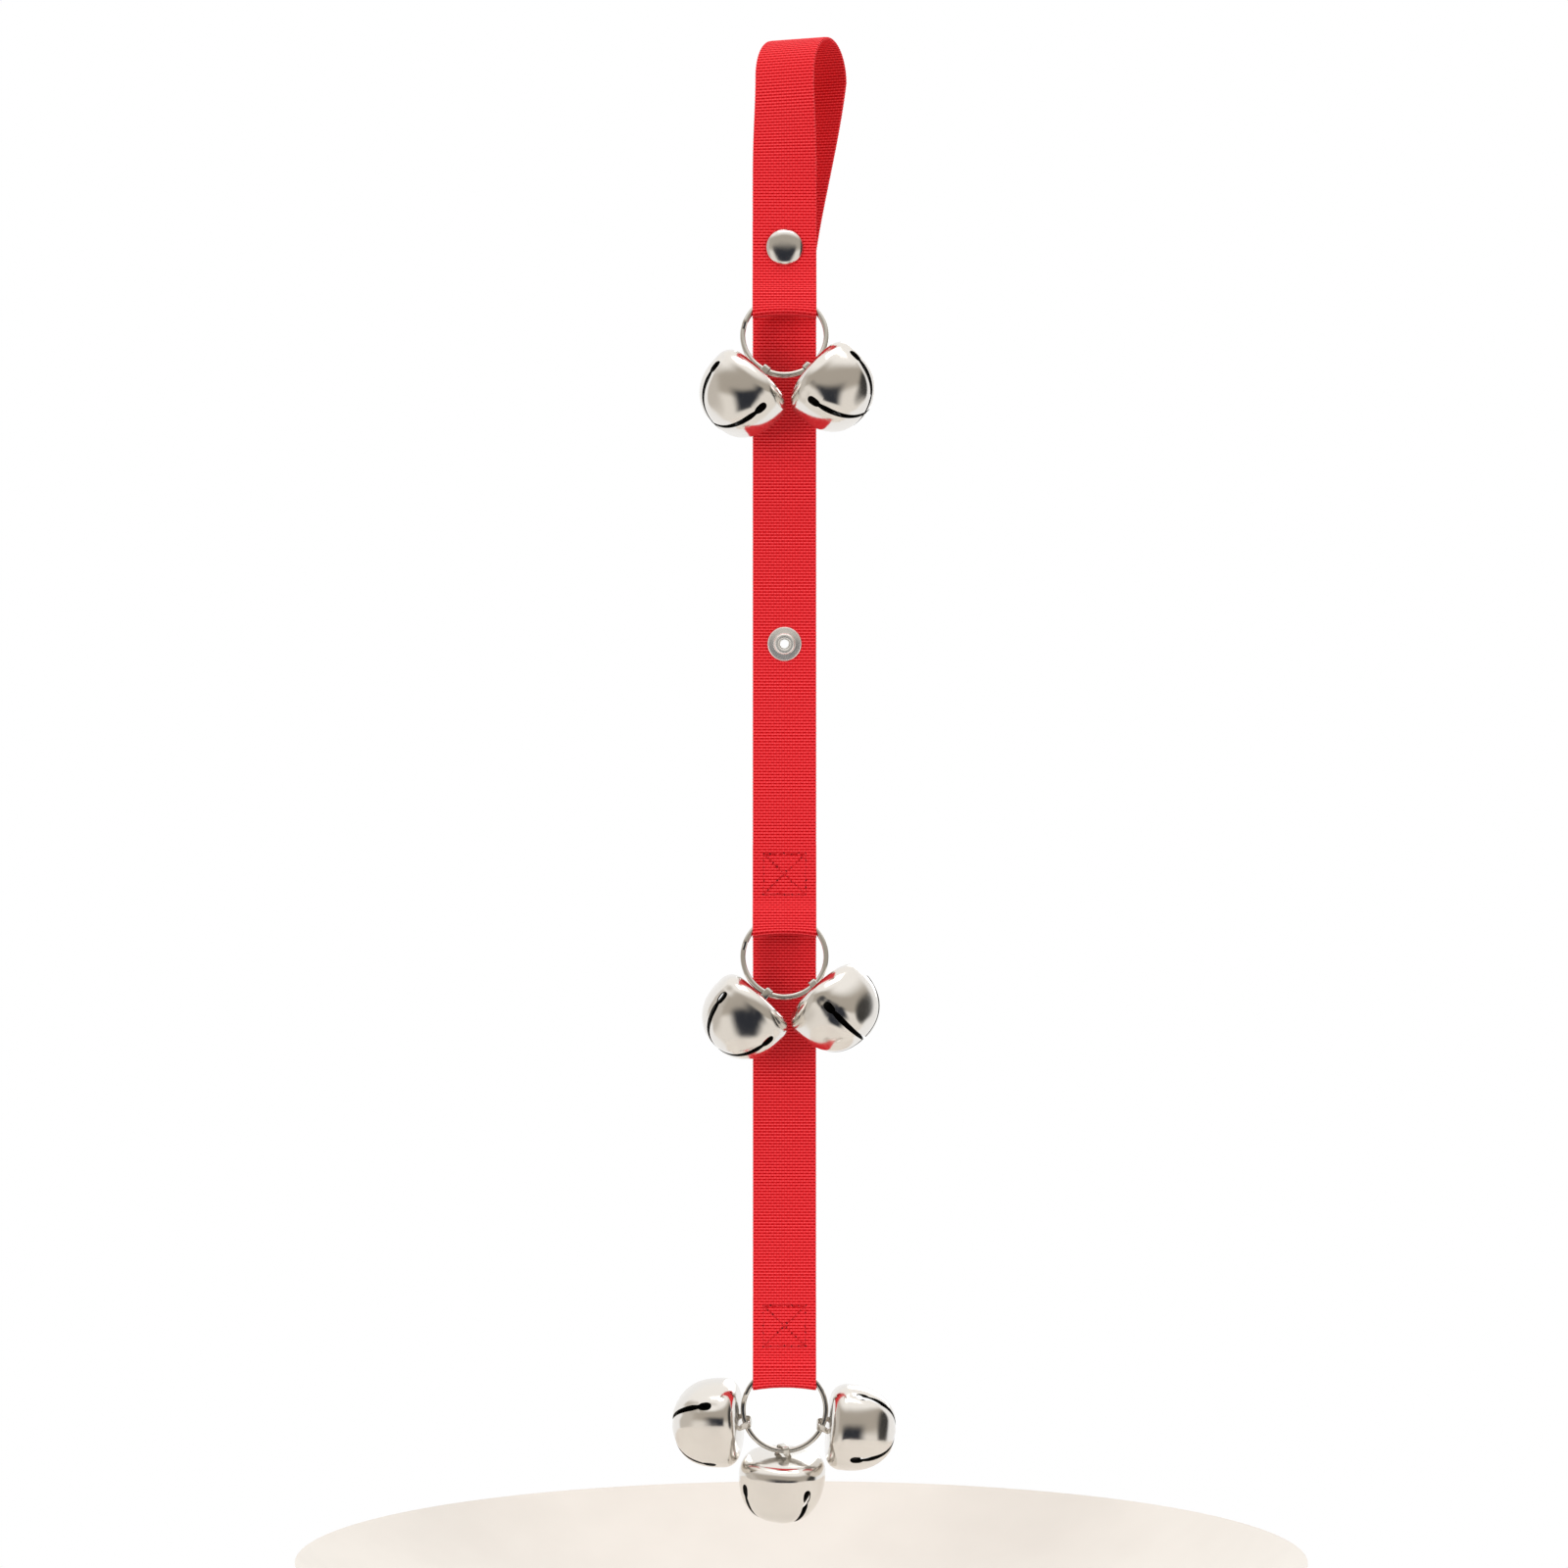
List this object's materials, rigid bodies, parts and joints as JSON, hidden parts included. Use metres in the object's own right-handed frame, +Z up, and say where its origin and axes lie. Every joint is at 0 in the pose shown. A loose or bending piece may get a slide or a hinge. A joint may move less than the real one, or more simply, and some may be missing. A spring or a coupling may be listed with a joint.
{
  "type": "sleigh bell door strap",
  "caption": "Webbing strap that hangs on a door knob by a snap-closed loop, with slotted jingle bells on split rings held in folded and sewn webbing pockets.",
  "frame": {"origin": "middle of the door-knob neck that the loop hangs on", "axes": "+Z up, the bells face -Y, +X to the right seen from the front"},
  "size_m": [0.0896, 0.0679, 0.5911],
  "materials": {
    "webbing": "matt ribbed nylon",
    "bell_nickel": "bright nickel plate with fine scratches",
    "ring_nickel": "bright nickel plate",
    "snap_nickel": "bright nickel plate",
    "ball_steel": "plain steel"
  },
  "bodies": {
    "knob_loop": {"knob_loop": "webbing", "upper_stud": "snap_nickel", "upper_stud_eyelet": "snap_nickel"},
    "snap_flap": {"snap_flap": "webbing", "snap_flap_return": "webbing", "snap_cap": "snap_nickel", "snap_socket": "snap_nickel"},
    "middle_strap": {"middle_strap": "webbing", "middle_strap_return": "webbing", "lower_stud": "snap_nickel", "lower_stud_eyelet": "snap_nickel", "lower_strap_head": "webbing"},
    "lower_strap": {"lower_strap": "webbing", "lower_strap_return": "webbing"},
    "ring_pocket_1": {"ring_pocket_1": "webbing"},
    "ring_1": {"ring_1": "ring_nickel"},
    "bell_1_left": {"bell_1_left_shell": "bell_nickel", "bell_1_left_hanger": "bell_nickel"},
    "bell_1_left_ball": {"bell_1_left_ball": "ball_steel"},
    "bell_1_right": {"bell_1_right_shell": "bell_nickel", "bell_1_right_hanger": "bell_nickel"},
    "bell_1_right_ball": {"bell_1_right_ball": "ball_steel"},
    "ring_pocket_2": {"ring_pocket_2": "webbing"},
    "ring_2": {"ring_2": "ring_nickel"},
    "bell_2_left": {"bell_2_left_shell": "bell_nickel", "bell_2_left_hanger": "bell_nickel"},
    "bell_2_left_ball": {"bell_2_left_ball": "ball_steel"},
    "bell_2_right": {"bell_2_right_shell": "bell_nickel", "bell_2_right_hanger": "bell_nickel"},
    "bell_2_right_ball": {"bell_2_right_ball": "ball_steel"},
    "ring_pocket_3": {"ring_pocket_3": "webbing"},
    "ring_3": {"ring_3": "ring_nickel"},
    "bell_3_left": {"bell_3_left_shell": "bell_nickel", "bell_3_left_hanger": "bell_nickel"},
    "bell_3_left_ball": {"bell_3_left_ball": "ball_steel"},
    "bell_3_bottom": {"bell_3_bottom_shell": "bell_nickel", "bell_3_bottom_hanger": "bell_nickel"},
    "bell_3_bottom_ball": {"bell_3_bottom_ball": "ball_steel"},
    "bell_3_right": {"bell_3_right_shell": "bell_nickel", "bell_3_right_hanger": "bell_nickel"},
    "bell_3_right_ball": {"bell_3_right_ball": "ball_steel"}
  },
  "joints": [
    {"name": "snap_flap_open", "type": "hinge", "parent": "knob_loop", "child": "snap_flap", "pos_m": [-0.00661, -0.0035, -0.05], "axis": [-1, 0, 0], "range_deg": [0, 95]},
    {"name": "upper_strap_bend", "type": "hinge", "parent": "knob_loop", "child": "middle_strap", "pos_m": [-0.00661, 0.0035, -0.166], "axis": [-1, 0, 0], "range_deg": [-45, 45]},
    {"name": "lower_strap_bend", "type": "hinge", "parent": "middle_strap", "child": "lower_strap", "pos_m": [-0.00661, 0.0123, -0.402], "axis": [-1, 0, 0], "range_deg": [-45, 45]},
    {"name": "ring_pocket_1_bend", "type": "hinge", "parent": "snap_flap", "child": "ring_pocket_1", "pos_m": [-0.00661, -0.0028, -0.0756], "axis": [-1, 0, 0], "range_deg": [0, 50]},
    {"name": "ring_1_turn", "type": "hinge", "parent": "ring_pocket_1", "child": "ring_1", "pos_m": [-0.00661, -0.01073, -0.10245], "axis": [0, -0.959, 0.2833], "range_deg": [-12, 12]},
    {"name": "bell_1_left_swing", "type": "hinge", "parent": "ring_1", "child": "bell_1_left", "pos_m": [-0.01437, -0.01486, -0.11642], "axis": [-0.8827, 0.1331, 0.4506], "range_deg": [0, 20]},
    {"name": "bell_1_left_ball_roll", "type": "hinge", "parent": "bell_1_left", "child": "bell_1_left_ball", "pos_m": [-0.02152, -0.01557, -0.12394], "axis": [-0.6879, -0.0684, -0.7226], "range_deg": [-50, 50]},
    {"name": "bell_1_right_swing", "type": "hinge", "parent": "ring_1", "child": "bell_1_right", "pos_m": [0.00286, -0.01456, -0.11541], "axis": [-0.8187, -0.1627, -0.5507], "range_deg": [0, 20]},
    {"name": "bell_1_right_ball_roll", "type": "hinge", "parent": "bell_1_right", "child": "bell_1_right_ball", "pos_m": [0.01071, -0.01649, -0.12195], "axis": [0.7547, -0.1859, -0.6292], "range_deg": [-50, 50]},
    {"name": "ring_pocket_2_bend", "type": "hinge", "parent": "middle_strap", "child": "ring_pocket_2", "pos_m": [-0.00661, 0.0042, -0.325], "axis": [-1, 0, 0], "range_deg": [0, 50]},
    {"name": "ring_2_turn", "type": "hinge", "parent": "ring_pocket_2", "child": "ring_2", "pos_m": [-0.00661, -0.00216, -0.34762], "axis": [0, -0.9627, 0.2705], "range_deg": [-12, 12]},
    {"name": "bell_2_left_swing", "type": "hinge", "parent": "ring_2", "child": "bell_2_left", "pos_m": [-0.01359, -0.0062, -0.36202], "axis": [-0.9062, 0.1144, 0.407], "range_deg": [0, 20]},
    {"name": "bell_2_left_ball_roll", "type": "hinge", "parent": "bell_2_left", "child": "bell_2_left_ball", "pos_m": [-0.02074, -0.00681, -0.36954], "axis": [-0.6879, -0.0587, -0.7234], "range_deg": [-50, 50]},
    {"name": "bell_2_right_swing", "type": "hinge", "parent": "ring_2", "child": "bell_2_right", "pos_m": [0.00518, -0.00528, -0.35874], "axis": [-0.6996, -0.1933, -0.6879], "range_deg": [0, 20]},
    {"name": "bell_2_right_ball_roll", "type": "hinge", "parent": "bell_2_right", "child": "bell_2_right_ball", "pos_m": [0.01213, -0.00737, -0.36618], "axis": [0.6691, -0.201, -0.7154], "range_deg": [-50, 50]},
    {"name": "ring_pocket_3_bend", "type": "hinge", "parent": "lower_strap", "child": "ring_pocket_3", "pos_m": [-0.00661, 0.013, -0.5056], "axis": [-1, 0, 0], "range_deg": [-45, 45]},
    {"name": "ring_3_turn", "type": "hinge", "parent": "ring_pocket_3", "child": "ring_3", "pos_m": [-0.00661, 0.013, -0.5291], "axis": [0, -1, 0], "range_deg": [-12, 12]},
    {"name": "bell_3_left_swing", "type": "hinge", "parent": "ring_3", "child": "bell_3_left", "pos_m": [-0.0223, 0.013, -0.53421], "axis": [-0.3095, 0, 0.9509], "range_deg": [-10, 22]},
    {"name": "bell_3_left_ball_roll", "type": "hinge", "parent": "bell_3_left", "child": "bell_3_left_ball", "pos_m": [-0.0326, 0.01445, -0.53457], "axis": [-0.9897, 0.1392, -0.0346], "range_deg": [-50, 50]},
    {"name": "bell_3_bottom_swing", "type": "hinge", "parent": "ring_3", "child": "bell_3_bottom", "pos_m": [-0.00719, 0.013, -0.54559], "axis": [-0.9994, 0, 0.0349], "range_deg": [-5, 26]},
    {"name": "bell_3_bottom_ball_roll", "type": "hinge", "parent": "bell_3_bottom", "child": "bell_3_bottom_ball", "pos_m": [-0.00754, 0.01534, -0.55572], "axis": [0, -1, 0], "range_deg": [-25, 25]},
    {"name": "bell_3_right_swing", "type": "hinge", "parent": "ring_3", "child": "bell_3_right", "pos_m": [0.00868, 0.013, -0.53529], "axis": [-0.3751, 0, -0.927], "range_deg": [-14, 20]},
    {"name": "bell_3_right_ball_roll", "type": "hinge", "parent": "bell_3_right", "child": "bell_3_right_ball", "pos_m": [0.019, 0.01372, -0.53637], "axis": [0.9921, 0.0698, -0.1043], "range_deg": [-50, 50]}
  ]
}
